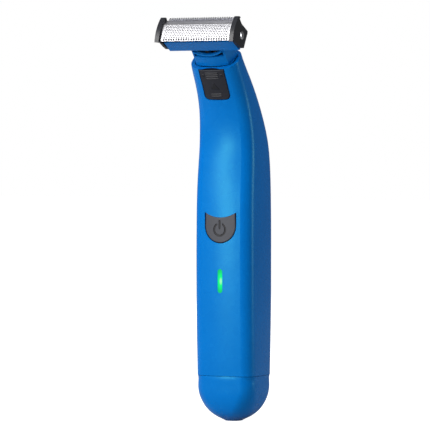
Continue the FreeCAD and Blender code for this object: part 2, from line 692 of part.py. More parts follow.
window = box("window", (-windowHalf, windowHalf), (-8, -2.6), (4.7, 8.3), collarFrame)
catchNotch = box("catch_notch", (-6.9, 6.9), (-8, -2.4), (-6, -0.1), collarFrame)
plugRelief = box("plug_relief", (-6.4, 6.4), (-3, 2.4), (3, 7.4), releaseFrame)
headBlank = fuse("head_blank", [plugBlank, tray, armPair])
headFrame = cut("head_frame", headBlank, [plugHollow, hingeBore, window, catchNotch, plugRelief])
bowWidth = windowHalf - 0.02
bowRise = 2.0
bowRadius = (number(bowWidth) ** 2 + bowRise ** 2) / (2 * bowRise)
bow = prism("float_spring", "XZ_Plane", [(-bowWidth, 7.9), (-bowWidth, 7.2, bowRadius), (bowWidth, 7.2),
                                         (bowWidth, 7.9, -bowRadius)], -4.9, -3.6)
bow.Placement = collarFrame


# ---- shaver cassette ----

foilY = size["foil_center_y"]
foilZ = size["foil_center_z"]


def foilPoint(radius, angle):
    """A (Y, Z) point seen from the foil's centre, its angle up from straight ahead."""
    turn = math.radians(angle)
    return (foilY - radius * math.cos(turn), foilZ + radius * math.sin(turn))


def foilBand(name, inner, outer, low, high, half):
    """A strip between two arcs about the foil's centre."""
    a, b = foilPoint(outer, high), foilPoint(outer, low)
    c, d = foilPoint(inner, low), foilPoint(inner, high)
    return profileX(name, [(*a, outer), b, (*c, -inner), d], half)


foilR = number(size["foil_radius"])
foilInside = foilR - number(size["foil_thickness"])
plateIn = size["plate_inside"]
foil = foilBand("foil", foilInside, foilR, 10.3, 40.6, plateIn)
railLow = foilBand("rail_low", 13.9, foilInside, 11.4, 14.4, plateIn)
railHigh = foilBand("rail_high", 13.6, foilInside, 37.6, 40.4, plateIn)
foilFrame = fuse("foil_frame", [railLow, railHigh])
cutterHalf = size["cutter_half_length"]
bladeArc = foilBand("blade_arc", 12.8, foilInside - 0.15, 15.6, 36.4, cutterHalf)
bladeCount = int(number(size["blade_count"]))
bladeGaps = [box("blade_gap_%d" % k,
                 (size["blade_pitch"] * (k - bladeCount / 2) + size["blade_thickness"] * 0.5,
                  size["blade_pitch"] * (k + 1 - bladeCount / 2) - size["blade_thickness"] * 0.5),
                 (-45, -20), (150, 175)) for k in range(-1, bladeCount + 1)]
cutterBlades = cut("cutter_blades", bladeArc, bladeGaps)
block = foilBand("block", 10.9, 12.75, 15.6, 36.4, cutterHalf)
bladeShelf = foilBand("blade_shelf", 11.4, 12.75, 36.0, 48.0, 10.0)
bladeStep = foilBand("blade_step", 12.6, 14.35, 43.0, 48.0, 10.0)
yokeArm = profileX("yoke_arm", [(-20.2, 157.3), (-21.4, 155.7), (-29.9, 158.9), (-29.6, 160.6)], 2.7)
yokePlate = box("yoke_plate", (-2.7, 2.7), (-1.7, 1.3), (7.3, 8.3), collarFrame)
prongPlay = pinRadius + 0.12
prongs = [box("prong_right", (prongPlay, 2.7), (-1.7, 1.3), (4.6, 7.4), collarFrame),
          box("prong_left", (-2.7, -prongPlay), (-1.7, 1.3), (4.6, 7.4), collarFrame)]
cutterBlock = fuse("cutter_block", [block, bladeShelf, bladeStep, yokeArm, yokePlate] + prongs)

# Trimmer comb along the foil's upper edge, with the moving blade behind it.
toothCount = int(number(size["tooth_count"]))
combPlate = foilBand("comb_plate", 15.0, 15.4, 41.0, 55.6, plateIn)
toothGaps = [box("tooth_gap_%d" % k,
                 (size["tooth_pitch"] * (k - toothCount / 2) - size["tooth_gap"] * 0.5,
                  size["tooth_pitch"] * (k - toothCount / 2) + size["tooth_gap"] * 0.5),
                 (-45, -20), (165.9, 175)) for k in range(toothCount + 1)]
trimmerComb = cut("trimmer_comb", combPlate, toothGaps)
trimmerBlade = foilBand("trimmer_blade", 14.35, 14.75, 42.0, 54.0, cutterHalf + 1.5)


def capPiece(name, profile, low, high, side):
    """A (Y, Z) outline padded between two X values, or their mirror image on the left."""
    body = newBody(name)
    start = low if side > 0 else -high
    place = Placement(Vector(0, 0, number(start)), Rotation())
    sketch = sketchOn(body, name + "_outline", "YZ_Plane", place)
    bind(sketch, "AttachmentOffset.Base.z", start)
    outline(sketch, profile)
    pad(body, sketch, high - low)
    return body


def endCap(name, side):
    """Side plate with a proud strip along the front; side is 1 on the right and -1 on the left."""
    radius = size["strip_radius"]
    inner = radius - size["strip_thickness"]
    top, foot = foilPoint(number(radius), 49.0), foilPoint(number(radius), 8.2)
    topIn, footIn = foilPoint(number(inner), 52.0), foilPoint(number(inner), 8.8)
    plateProfile = [(*top, radius), foot, (-32.2, 156.7), (-29.6, 155.3), (-27.1, 154.3), (-24.6, 154.3),
                    (-22.9, 157.6), (-21.3, 160.4), (-21.3, 161.3), (-24.2, 162.9), (-26.4, 164.1),
                    (-27.6, 165.4), (-28.6, 167.1)]
    stripProfile = [(*top, radius), foot, (*footIn, -number(inner)), topIn]
    plate = capPiece(name + "_plate", plateProfile, plateIn, size["plate_outside"], side)
    strip = capPiece(name + "_strip", stripProfile, size["strip_inside"], size["strip_outside"], side)
    blank = fuse(name + "_blank", [plate, strip])
    pinHole = rod(name + "_pin_hole", size["hinge_radius"], -20, 20, along="x", at=hingeAt)
    return cut(name, blank, [pinHole])


def pivotPin(name, side):
    """A headed pin: its shank turns in the head frame's arm and its head lies on the end cap."""
    shank = [size["plate_inside"] - 1.3, size["plate_outside"] + 0.1]
    head = [size["plate_outside"], size["strip_outside"]]
    spans = [span if side > 0 else [-span[1], -span[0]] for span in (shank, head)]
    radii = (size["hinge_radius"] - snug, size["pin_head_radius"])
    rods = [rod("%s_%d" % (name, k), radius, *span, along="x", at=hingeAt)
            for k, (radius, span) in enumerate(zip(radii, spans))]
    return fuse(name, rods)


capRight = endCap("end_cap_right", 1)
capLeft = endCap("end_cap_left", -1)
pinRight = pivotPin("pivot_pin_right", 1)
pinLeft = pivotPin("pivot_pin_left", -1)

NODES = [housing, bottomCap, capSeal, chargeSocket, chassis, chassisScrews, battery, batteryTabs, mainBoard,
         tactSwitch, indicatorLed, indicatorLens, motorCan, pivotRing, leverPin, neckPlate, driveBoot,
         releaseSpring, powerButton, buttonPad, releaseButton, releaseCatch, motorShaft, driveEccentric,
         driveLever, drivePin, headFrame, bow, capLeft, capRight, foil, foilFrame, trimmerComb, pinLeft,
         pinRight, cutterBlock, cutterBlades, trimmerBlade]


def checkAndExport():
    doc.recompute()
    failed = [o.Name for o in doc.Objects if "Invalid" in o.State or "Error" in o.State]
    if failed:
        raise RuntimeError("features failed: " + ", ".join(failed))
    os.makedirs("parts", exist_ok=True)
    for node in NODES:
        if node.Shape.isNull() or not node.Shape.isValid():
            raise RuntimeError("bad shape: " + node.Label)
    for node in NODES:
        node.Shape.exportStep("parts/%s.step" % node.Label)
        print("%-18s %d solid(s), %.1f mm3" % (node.Label, len(node.Shape.Solids), node.Shape.Volume))


checkAndExport()
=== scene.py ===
import json
import math
import bmesh
import bpy
import numpy as np
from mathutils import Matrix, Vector


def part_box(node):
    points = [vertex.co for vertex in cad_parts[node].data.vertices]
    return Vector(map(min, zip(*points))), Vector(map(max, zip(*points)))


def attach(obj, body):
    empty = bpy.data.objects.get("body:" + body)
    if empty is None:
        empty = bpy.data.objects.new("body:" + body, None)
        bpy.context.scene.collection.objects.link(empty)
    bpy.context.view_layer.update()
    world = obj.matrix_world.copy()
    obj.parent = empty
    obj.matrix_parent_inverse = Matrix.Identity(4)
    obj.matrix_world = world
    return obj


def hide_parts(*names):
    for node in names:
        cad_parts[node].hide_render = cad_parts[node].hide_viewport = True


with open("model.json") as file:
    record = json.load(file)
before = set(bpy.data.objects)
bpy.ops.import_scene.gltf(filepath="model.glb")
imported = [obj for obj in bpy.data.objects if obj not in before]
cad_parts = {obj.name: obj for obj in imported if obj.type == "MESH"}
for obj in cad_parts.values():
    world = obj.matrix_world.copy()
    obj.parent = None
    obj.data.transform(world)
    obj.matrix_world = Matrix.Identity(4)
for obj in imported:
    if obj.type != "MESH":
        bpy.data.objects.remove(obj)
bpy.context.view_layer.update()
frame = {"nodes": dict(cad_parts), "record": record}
scene = bpy.context.scene
print("frame loaded:", len(frame["nodes"]), "nodes")

# Shapes are worked out in millimetres and turned into metres where the mesh is made.
unit = 0.001

# The camera stands level with the buttons, a little to the right of them. Angles are in degrees.
cameraSet = {"azimuth": 28.0, "elevation": 1.4688, "target": (-6.92, -3.68, 85.67),
             "distance": 1300.0, "lens": 261.2, "farthest": 20}


# Back from the target by the distance, along a level bearing that the elevation raises.
def placeCamera(values):
    azimuth, elevation = math.radians(values["azimuth"]), math.radians(values["elevation"])
    back = Vector((math.sin(azimuth) * math.cos(elevation),
                   -math.cos(azimuth) * math.cos(elevation), math.sin(elevation)))
    data = bpy.data.cameras.new("camera")
    data.lens = values["lens"]
    data.clip_end = values["farthest"]  # metres
    camera = bpy.data.objects.new("camera", data)
    camera.location = (Vector(values["target"]) + back * values["distance"]) * unit
    camera.rotation_euler = (math.pi / 2 - elevation, 0, azimuth)
    scene.collection.objects.link(camera)
    scene.camera = camera


placeCamera(cameraSet)

# Soft boxes: where each one stands, what it looks at, its two sides, its power and its tint.
lightSet = {
    "key": ((-430, -830, 600), (0, 0, 95), (420, 480), 9.2, (1.0, 0.99, 0.97)),
    "low": ((-330, -900, 110), (0, 0, 105), (220, 160), 2.0, (1.0, 1.0, 1.0)),
    "strip": ((-469, -883, 235), (0, 0, 105), (240, 150), 1.2, (1.0, 1.0, 1.0)),
    "side": ((940, 380, 300), (0, 0, 90), (260, 600), 2.9, (0.97, 0.99, 1.0)),
    "top": ((0, -260, 900), (0, -30, 160), (460, 420), 2.6, (1.0, 1.0, 1.0)),
    "rim": ((-520, 640, 420), (0, 0, 90), (300, 500), 3.5, (0.97, 0.99, 1.0)),
}


# Each box is turned so that its lit side faces along the line from its place to its aim.
def addLights(values):
    for name, (place, aim, sides, power, tint) in values.items():
        data = bpy.data.lights.new(name, "AREA")
        data.shape = "RECTANGLE"
        data.size, data.size_y = (side * unit for side in sides)
        data.energy = power
        data.color = tint
        light = bpy.data.objects.new(name, data)
        light.location = Vector(place) * unit
        light.rotation_euler = (Vector(aim) - Vector(place)).to_track_quat("-Z", "Y").to_euler()
        scene.collection.objects.link(light)


addLights(lightSet)


# A value goes to the socket of its name, or else to the node's own setting.
def addNode(owner, kind, **values):
    node = owner.node_tree.nodes.new(kind)
    for key, value in values.items():
        if key in node.inputs:
            node.inputs[key].default_value = value
        else:
            setattr(node, key, value)
    return node


# A link from one node's socket to another's.
def join(owner, source, target):
    owner.node_tree.links.new(source, target)


# Low at 0, high at 1, and a straight line between them.
def spread(owner, source, low, high):
    node = addNode(owner, "ShaderNodeMapRange", **{"To Min": low, "To Max": high})
    join(owner, source, node.inputs["Value"])
    return node.outputs["Result"]


# A material whose plain numbers stand on the shader's own sockets.
def newFinish(name, values):
    material = bpy.data.materials.new(name)
    material.use_nodes = True
    shader = material.node_tree.nodes["Principled BSDF"]
    for socket, value in values.items():
        shader.inputs[socket].default_value = value
    return material, shader


# Strengths come in pairs: the light that is given, and what the camera sees.
studioSet = {"backdrop": (0.16, 1.0), "floorGlow": (0.06, 0.96), "floorTone": 0.4,
             "floorRough": 0.9, "floorGloss": 0.1, "floorHalf": 4000.0}


# The first strength for every ray but the camera's, and the second for the camera's.
def addStrength(owner, strengths, target):
    rays = addNode(owner, "ShaderNodeLightPath")
    join(owner, spread(owner, rays.outputs["Is Camera Ray"], *strengths), target)


# A level backdrop of one colour and a square floor at the foot of the object.
def addStudio(values):
    white = (1, 1, 1, 1)
    world = bpy.data.worlds.new("studio")
    world.use_nodes = True
    scene.world = world
    background = world.node_tree.nodes["Background"]
    background.inputs["Color"].default_value = white
    addStrength(world, values["backdrop"], background.inputs["Strength"])
    tone = values["floorTone"]
    paint, shader = newFinish("floorPaint", {
        "Base Color": (tone, tone, tone, 1), "Roughness": values["floorRough"],
        "Specular IOR Level": values["floorGloss"], "Emission Color": white})
    addStrength(paint, values["floorGlow"], shader.inputs["Emission Strength"])
    half = values["floorHalf"] * unit
    corners = [(-half, -half, 0), (half, -half, 0), (half, half, 0), (-half, half, 0)]
    mesh = bpy.data.meshes.new("floor")
    mesh.from_pydata(corners, [], [(0, 1, 2, 3)])
    mesh.materials.append(paint)
    floor = bpy.data.objects.new("floor", mesh)
    scene.collection.objects.link(floor)


addStudio(studioSet)
scene.view_settings.view_transform = "Standard"
print("camera, lights and floor placed")


# The point's own place in the piece, in metres.
def objectCoords(material):
    return addNode(material, "ShaderNodeTexCoord").outputs["Object"]


# Smooth noise from 0 to 1, with a new value about every 1 / scale of the coordinates.
def noiseFrom(material, coords, scale, detail):
    noise = addNode(material, "ShaderNodeTexNoise", Scale=scale, Detail=detail)
    join(material, coords, noise.inputs["Vector"])
    return noise.outputs["Fac"]


# Straight blends between stops, each a place from 0 to 1 and a colour, in rising order.
def rampFrom(material, source, stops):
    ramp = addNode(material, "ShaderNodeValToRGB")
    elements = ramp.color_ramp.elements
    while len(elements) < len(stops):
        elements.new(0.5)
    for element, (place, color) in zip(elements, stops):
        element.position, element.color = place, (*color, 1)
    join(material, source, ramp.inputs["Fac"])
    return ramp.outputs["Color"]


# The normal tilts by the slope of the source times the depth, in metres.
def addBump(material, shader, source, strength, depth):
    bump = addNode(material, "ShaderNodeBump", Strength=strength, Distance=depth)
    join(material, source, bump.inputs["Height"])
    join(material, bump.outputs["Normal"], shader.inputs["Normal"])


# Noise scales are per metre, and depth is in metres. The painted shade tone is the share of the
# dark tone that shaded grooves and ribs fall to.
plasticSet = {"gloss": 0.3, "grain": 2600.0, "grainDetail": 3.0, "depth": 0.00002, "bump": 0.35,
              "glossScale": 156.0, "driftScale": 60.0, "broadDetail": 2.0,
              "stops": (0.35, 0.65), "paintedShadeTone": 0.22}


# Fine noise lifts the surface and broad noise moves its gloss. A slow drift runs between the two
# tones, and where the piece's painted shade is 1 the colour falls to a share of the darker one:
# painted shade in the grooves and on the ribs of the buttons.
def mouldedPlastic(name, light, dark, rough, sheen=(1, 1, 1)):
    values = plasticSet
    material, shader = newFinish(name, {"Specular IOR Level": values["gloss"],
                                        "Specular Tint": (*sheen, 1)})
    coords = objectCoords(material)
    drift = noiseFrom(material, coords, values["driftScale"], values["broadDetail"])
    tone = rampFrom(material, drift, list(zip(values["stops"], (dark, light))))
    # Painted shade: the per point shade values darken the colour in grooves and on ribs.
    paintedShadeMask = addNode(material, "ShaderNodeAttribute", attribute_name="paintedShade")
    deepen = addNode(material, "ShaderNodeMix", data_type="RGBA")
    deepen.inputs["B"].default_value = (*(values["paintedShadeTone"] * level for level in dark), 1)
    join(material, paintedShadeMask.outputs["Fac"], deepen.inputs["Factor"])
    join(material, tone, deepen.inputs["A"])
    join(material, deepen.outputs["Result"], shader.inputs["Base Color"])
    grain = noiseFrom(material, coords, values["grain"], values["grainDetail"])
    addBump(material, shader, grain, values["bump"], values["depth"])
    broad = noiseFrom(material, coords, values["glossScale"], values["broadDetail"])
    join(material, spread(material, broad, *rough), shader.inputs["Roughness"])
    return material


# The stretch squeezes the noise across X, which leaves fine lines along X.
metalSet = {"stretch": (40.0, 1200.0, 1200.0), "scale": 3.0, "detail": 4.0, "bump": 0.2,
            "depth": 0.00001}


# One set of lines moves the colour, the gloss and the surface together.
def brushedMetal(name, light, dark, rough):
    values = metalSet
    material, shader = newFinish(name, {"Metallic": 1.0})
    mapping = addNode(material, "ShaderNodeMapping", Scale=values["stretch"])
    join(material, objectCoords(material), mapping.inputs["Vector"])
    lines = noiseFrom(material, mapping.outputs["Vector"], values["scale"], values["detail"])
    join(material, rampFrom(material, lines, [(0, dark), (1, light)]), shader.inputs["Base Color"])
    join(material, spread(material, lines, *rough), shader.inputs["Roughness"])
    addBump(material, shader, lines, values["bump"], values["depth"])
    return material


# Places of the stops are shares of the glow's reach along X, Y and Z, in metres.
glowSet = {"core": (0.14, (1.0, 1.0, 0.95)), "body": (0.4, (0.0, 0.98, 0.22)),
           "edge": (0.78, (0.0, 0.50, 0.12)), "strength": 0.95, "reach": (0.0026, 0.008, 0.0062),
           "middleX": 0.0004, "base": (0.0, 0.12, 0.04, 1), "rough": 0.3, "gloss": 0.05}


# The distance from the lens's middle, in reaches, picks the colour: a white core at the middle
# and a deeper green at the ends.
def litLens(name, values):
    low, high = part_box("indicator_lens")
    middle = (low + high) / 2
    material, shader = newFinish(name, {
        "Base Color": values["base"], "Roughness": values["rough"],
        "Specular IOR Level": values["gloss"], "Emission Strength": values["strength"]})
    shift = addNode(material, "ShaderNodeMapping", vector_type="TEXTURE", Scale=values["reach"],
                    Location=(values["middleX"], middle.y, middle.z))
    away = addNode(material, "ShaderNodeVectorMath", operation="LENGTH")
    join(material, objectCoords(material), shift.inputs["Vector"])
    join(material, shift.outputs["Vector"], away.inputs[0])
    stops = [values[part] for part in ("core", "body", "edge")]
    join(material, rampFrom(material, away.outputs["Value"], stops),
         shader.inputs["Emission Color"])
    return material


# Each row is a name, a light and a dark tone and a range of roughness. The blue adds the tint of
# its gloss.
plastics = {
    "blue_shell": ("blueShell", (0.0003, 0.144, 0.510), (0.0002, 0.135, 0.485), (0.24, 0.31),
                   (0.16, 0.95, 0.75)),
    "black_plastic": ("blackPlastic", (0.017, 0.018, 0.024), (0.012, 0.013, 0.018), (0.3, 0.4)),
    "charcoal_button": ("charcoalButton", (0.043, 0.046, 0.058), (0.037, 0.039, 0.050),
                        (0.42, 0.52)),
    # The release button's charcoal is the button charcoal darkened: painted shade for its face
    # tilting down, away from the key light.
    "release_charcoal_painted_shade": ("releaseCharcoalPaintedShade", (0.013, 0.014, 0.021), (0.010, 0.011, 0.017),
                         (0.42, 0.52)),
    "seal_rubber": ("sealRubber", (0.02, 0.02, 0.022), (0.014, 0.014, 0.016), (0.6, 0.7)),
    "frame_plastic": ("framePlastic", (0.045, 0.045, 0.05), (0.035, 0.035, 0.04), (0.45, 0.55)),
    "drive_plastic": ("drivePlastic", (0.7, 0.69, 0.65), (0.64, 0.63, 0.6), (0.4, 0.5)),
    "cell_wrap": ("cellWrap", (0.12, 0.14, 0.18), (0.1, 0.12, 0.16), (0.3, 0.4)),
    "board_green": ("boardGreen", (0.02, 0.13, 0.05), (0.015, 0.1, 0.04), (0.3, 0.4)),
    "switch_body": ("switchBody", (0.02, 0.02, 0.022), (0.015, 0.015, 0.017), (0.4, 0.5)),
    "led_chip": ("ledChip", (0.85, 0.85, 0.75), (0.8, 0.8, 0.7), (0.3, 0.4)),
}
metals = {
    "foil_steel": ("foilSteel", (0.57, 0.57, 0.60), (0.53, 0.53, 0.56), (0.42, 0.52)),
    "comb_steel": ("combSteel", (0.62, 0.62, 0.68), (0.45, 0.45, 0.5), (0.25, 0.35)),
    "pin_steel": ("pinSteel", (0.62, 0.62, 0.64), (0.5, 0.5, 0.52), (0.12, 0.2)),
    "nickel": ("nickelStrip", (0.6, 0.6, 0.56), (0.5, 0.5, 0.47), (0.25, 0.35)),
    "socket_metal": ("socketMetal", (0.5, 0.5, 0.52), (0.38, 0.38, 0.4), (0.25, 0.35)),
}
finishes = {slot: mouldedPlastic(*row) for slot, row in plastics.items()}
finishes.update({slot: brushedMetal(*row) for slot, row in metals.items()})
finishes["green_lens"] = litLens("greenLens", glowSet)


# Every node of the CAD wears the finish of its own slot.
def dressNodes():
    for row in frame["record"]["subparts"]:
        node = frame["nodes"][row["node"]]
        node.data.materials.clear()
        node.data.materials.append(finishes[row["material_slot"]])


dressNodes()
print("finishes made:", len(finishes))

# Points closer than the weld (metres) are joined, and edges past the crease (degrees) stay sharp.
meshSet = {"weld": 1e-6, "crease": 40}


# Points come in millimetres. Caps are single faces with many corners, after the quads.
def addPiece(name, points, quads, body, slot, node, caps=(), paintedShade=None, finish=None):
    mesh = bpy.data.meshes.new(name)
    faces = quads.tolist() + [cap.tolist() for cap in caps]
    mesh.from_pydata((points * unit).tolist(), [], faces)
    # Painted shade per point, which the finish uses to darken the colour in grooves and on ribs.
    if paintedShade is not None:
        mesh.attributes.new("paintedShade", "FLOAT", "POINT").data.foreach_set("value", paintedShade)
    shell = bmesh.new()
    shell.from_mesh(mesh)
    bmesh.ops.remove_doubles(shell, verts=shell.verts, dist=meshSet["weld"])
    bmesh.ops.recalc_face_normals(shell, faces=shell.faces)
    shell.to_mesh(mesh)
    shell.free()
    mesh.shade_smooth()
    mesh.set_sharp_from_angle(angle=math.radians(meshSet["crease"]))
    mesh.materials.append(finishes[finish or slot])
    piece = bpy.data.objects.new(name, mesh)
    scene.collection.objects.link(piece)
    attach(piece, body)
    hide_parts(node)
    return piece


# Quads between neighbouring points of a grid stored row after row. A loop joins its last column
# to its first.
def gridFaces(rows, columns, loop=False):
    across = columns if loop else columns - 1
    r, c = np.meshgrid(np.arange(rows - 1), np.arange(across), indexing="ij")
    after = (c + 1) % columns
    quads = [r * columns + c, r * columns + after, (r + 1) * columns + after, (r + 1) * columns + c]
    return np.stack(quads, -1).reshape(-1, 4)


# Each value goes to the modifier's own setting of that name.
def addModifier(piece, kind, **values):
    modifier = piece.modifiers.new(kind.lower(), kind)
    for key, value in values.items():
        setattr(modifier, key, value)


# A wall that grows inwards from the sheet.
def thicken(piece, depth):
    addModifier(piece, "SOLIDIFY", thickness=depth * unit, offset=-1)


# A narrow round on every edge that turns by more than the angle.
def roundEdges(piece, width, angle):
    addModifier(piece, "BEVEL", width=width * unit, segments=2, limit_method="ANGLE",
                angle_limit=math.radians(angle))


# Widths of the rounds on the moulded shells, in millimetres.
softSet = {"angle": 50, "widths": {"housing": 0.16, "bottom_cap": 0.2, "head_frame": 0.15,
                                   "end_cap_left": 0.2, "end_cap_right": 0.2}}

for node, width in softSet["widths"].items():
    roundEdges(frame["nodes"][node], width, softSet["angle"])
print("shells softened:", len(softSet["widths"]))


# 0 below low, 1 above high, and an even S between them: 3t² - 2t³.
def ease(low, high, value):
    t = np.clip((value - low) / (high - low), 0, 1)
    return t * t * (3 - 2 * t)


# The head's round parts share one centre line along X, given by its y and z. The foil covers the
# angles from low to high, which are in degrees up from straight ahead.
arcSet = {"center": (-18.82, 154.42), "radius": 15.65, "low": 10.3, "high": 40.6}


# Points at a radius about the centre line: forwards by its cosine and up by its sine.
def onArc(x, angle, radius):
    y, z = arcSet["center"]
    turn = np.radians(angle)
    return np.stack([x + 0 * turn, y - radius * np.cos(turn) + 0 * x,
                     z + radius * np.sin(turn) + 0 * x], -1)


# A grid of tiles with a hole each. Heights run up the foil, and each side of a tile has a few
# steps, so that plain strips beside the tiles meet them point for point.
foilSet = {"columns": 28, "holeRows": 8, "rowHeight": 0.76, "hole": (0.15, 0.15), "slitFoot": 0.12,
           "slitHeight": 1.15, "slit": (0.2, 0.46), "plainEnds": 1, "steps": 4, "thickness": 0.15}


# A plain tile around an oval hole. The outer points are evenly spaced along the tile's edges, and
# the inner ones lie at the same angles on the oval.
def holedTile(width, height, hole, steps):
    along = 2 * np.arange(steps) / steps - 1
    edge = np.ones(steps)
    square = np.concatenate([np.stack(side, -1) for side in (
        (along, -edge), (edge, along), (-along, edge), (-edge, -along))])
    turn = np.arctan2(square[:, 1], square[:, 0])
    inner = np.stack([hole[0] * np.cos(turn), hole[1] * np.sin(turn)], -1)
    outer = square * np.array([width / 2, height / 2])
    return np.concatenate([outer, inner]), gridFaces(2, len(square), loop=True)


# The tile set down with its middle at each place.
def repeatTile(tile, places):
    points, quads = tile
    moved = (points[None] + places[:, None]).reshape(-1, 2)
    shift = (np.arange(len(places)) * len(points))[:, None, None]
    return moved, (quads[None] + shift).reshape(-1, 4)


# A flat grid with a point at every x and height.
def plainPatch(xs, heights):
    x, s = np.meshgrid(xs, heights)
    return np.stack([x.ravel(), s.ravel()], -1), gridFaces(len(heights), len(xs))


# Patches one after another, with their quads moved up by the points before them.
def mergePatches(patches):
    counts = [len(points) for points, quads in patches]
    starts = np.cumsum([0] + counts[:-1])
    quads = [quads + start for (points, quads), start in zip(patches, starts)]
    return np.concatenate([points for points, quads in patches]), np.concatenate(quads)


# The sheet is laid out flat in x and height, then bent: the angle is the height over the radius.
def buildFoil(values):
    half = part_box("foil")[1][0] / unit
    pitch = 2 * half / values["columns"]
    length = math.radians(arcSet["high"] - arcSet["low"]) * arcSet["radius"]
    steps, tall = values["steps"], values["rowHeight"]
    across = np.linspace(-half, half, steps * values["columns"] + 1)
    slitLow = values["slitFoot"]
    slitHigh = slitLow + values["slitHeight"]
    holesHigh = slitHigh + values["holeRows"] * tall
    patches = [plainPatch(across, np.array([0, slitLow])),
               plainPatch(across, np.array([holesHigh, length]))]
    count = values["columns"] - 2 * values["plainEnds"]
    slit = holedTile(pitch, values["slitHeight"], values["slit"], steps)
    hole = holedTile(pitch, tall, values["hole"], steps)
    rows = [(slit, count, slitLow, values["slitHeight"])]
    for row in range(values["holeRows"]):  # every other row has one hole less
        rows.append((hole, count - row % 2, slitHigh + row * tall, tall))
    for tile, inRow, low, height in rows:
        xs = (np.arange(inRow) - (inRow - 1) / 2) * pitch
        patches.append(repeatTile(tile, np.stack([xs, np.full(inRow, low + height / 2)], -1)))
    for tile, inRow, low, height in rows:  # plain strips from the last tile to each end
        heights = low + height * np.arange(steps + 1) / steps
        right = across[across > inRow * pitch / 2 - pitch / (2 * steps)]
        patches.append(plainPatch(right, heights))
        patches.append(plainPatch(-right[::-1], heights))
    flat, quads = mergePatches(patches)
    x, s = flat.T
    angle = arcSet["low"] + np.degrees(s / arcSet["radius"])
    foil = addPiece("shaverFoil", onArc(x, angle, arcSet["radius"]), quads, "cassette",
                    "foil_steel", "foil")
    thicken(foil, values["thickness"])


buildFoil(foilSet)
print("foil made")

# Low, root and tip are angles on the arc, in degrees. The rows stop at the last share of a tooth's
# height, and crowd towards the tip by a power.
combSet = {"teeth": 29, "pitch": 1.05, "gap": 0.5, "low": 41.0, "root": 47.5, "tip": 55.6,
           "radius": 15.4, "half": 16.25, "thickness": 0.4, "rows": 9, "last": 0.995,
           "crowd": 1.6, "edge": 0.06, "edgeAngle": 30}


# A band with teeth. At the share t of its height a tooth's half width is the root's times the
# square root of 1 - t⁴, so it keeps its width up its sides and closes in a round tip.
def buildComb(values):
    middles = (np.arange(values["teeth"]) - (values["teeth"] - 1) / 2) * values["pitch"]
    wide = (values["pitch"] - values["gap"]) / 2
    climb = 1 - (1 - np.linspace(0, values["last"], values["rows"])) ** values["crowd"]
    share = np.concatenate([[0], climb])
    angle = values["root"] + (values["tip"] - values["root"]) * share
    angle[0] = values["low"]
    halfWidth = wide * np.sqrt(1 - share ** 4)
    x = middles[None, :, None] + halfWidth[:, None, None] * np.array([-1, 1])
    rows, columns = len(share), 2 * values["teeth"]
    points = onArc(x.ravel(), np.repeat(angle, columns), values["radius"])
    quads = gridFaces(rows, columns)
    level, column = np.divmod(quads[:, 0], columns)
    quads = quads[(level < 1) | (column % 2 == 0)]  # above the band, only the teeth
    ends = onArc(np.repeat([-values["half"], values["half"]], 2),
                 np.tile([values["low"], values["root"]], 2), values["radius"])
    base = len(points)
    sides = [[base, base + 1, columns, 0], [base + 2, base + 3, 2 * columns - 1, columns - 1]]
    comb = addPiece("trimmerTeeth", np.concatenate([points, ends]),
                    np.concatenate([quads, sides]), "cassette", "comb_steel", "trimmer_comb")
    thicken(comb, values["thickness"])
    roundEdges(comb, values["edge"], values["edgeAngle"])


buildComb(combSet)
print("trimmer comb made")


# A frame turned about X by an angle in degrees, with its origin in the plane x = 0.
def tiltedPlace(y, z, degrees):
    turn = math.radians(degrees)
    return {"origin": np.array([0, y, z]),
            "turn": np.array([[1, 0, 0], [0, math.cos(turn), -math.sin(turn)],
                              [0, math.sin(turn), math.cos(turn)]])}


# The terms of a face that is even in x and a cubic in z: 1, x², z, z² and z³.
def faceTerms(x, z):
    return np.stack([np.ones_like(x), x * x, z, z * z, z ** 3], -1)


# The node's front face as y = c0 + c1 x² + c2 z + c3 z² + c4 z³ in the place's frame, by least
# squares through the points that lie within a depth of its foremost one.
def faceFit(node, place, depth):
    mesh = frame["nodes"][node].data
    points = np.empty(len(mesh.vertices) * 3)
    mesh.vertices.foreach_get("co", points)
    points = (points.reshape(-1, 3) / unit - place["origin"]) @ place["turn"]
    x, y, z = points[points[:, 1] < points[:, 1].min() + depth].T
    return np.linalg.lstsq(faceTerms(x, z), y, rcond=None)[0]


# Small shares of the way out from the centre, where the front and the back are capped.
padSet = {"eye": 0.01, "backEye": 0.02, "slot": "charcoal_button"}


# Rings from the centre out to the outline, then over a rounded edge and down the wall to a flat
# back: an even circle out to the core, then a straight blend from the circle to the outline.
# The relief at x and z gives how far the face stands proud and how much painted shade darkens it.
def padSurface(name, node, outline, place, relief, values):
    center, core, edge = np.array(values["center"]), values["core"], values["edge"]
    turn = np.arctan2(outline[:, 1] - center[1], outline[:, 0] - center[0])
    circle = np.stack([np.cos(turn), np.sin(turn)], -1)
    grow = np.linspace(padSet["eye"], 1, values["coreRings"])[:, None, None]
    inner = center + circle[None] * core * grow
    away = outline - center
    away = away / np.linalg.norm(away, axis=1)[:, None]
    start, stop = center + circle * core, outline - away * edge
    outer = start + (stop - start) * np.linspace(0, 1, values["rings"])[1:, None, None]
    roll = np.linspace(0, math.pi / 2, values["edgeRings"])[1:]
    over = stop[None] + away[None] * edge * np.sin(roll)[:, None, None]
    back = center + (outline - center)[None] * padSet["backEye"]
    rings = np.concatenate([inner, outer, over, outline[None], back])
    first = len(inner) + len(outer)
    drop = np.zeros(len(rings))
    drop[first:first + len(over)] = edge * (1 - np.cos(roll))
    x, z = rings[..., 0], rings[..., 1]
    height, paintedShade = relief(x, z)
    height[first + len(over):] = 0
    y = faceTerms(x, z) @ faceFit(node, place, values["fitDepth"]) + drop[:, None] - height
    y[-2:] = values["back"]
    points = np.stack([x, y, z], -1).reshape(-1, 3) @ place["turn"].T + place["origin"]
    rows, columns = x.shape
    front = np.arange(columns)
    addPiece(name, points, gridFaces(rows, columns, loop=True), values["body"], padSet["slot"],
             node, [front, front + (rows - 1) * columns], paintedShade.ravel(), values["finish"])


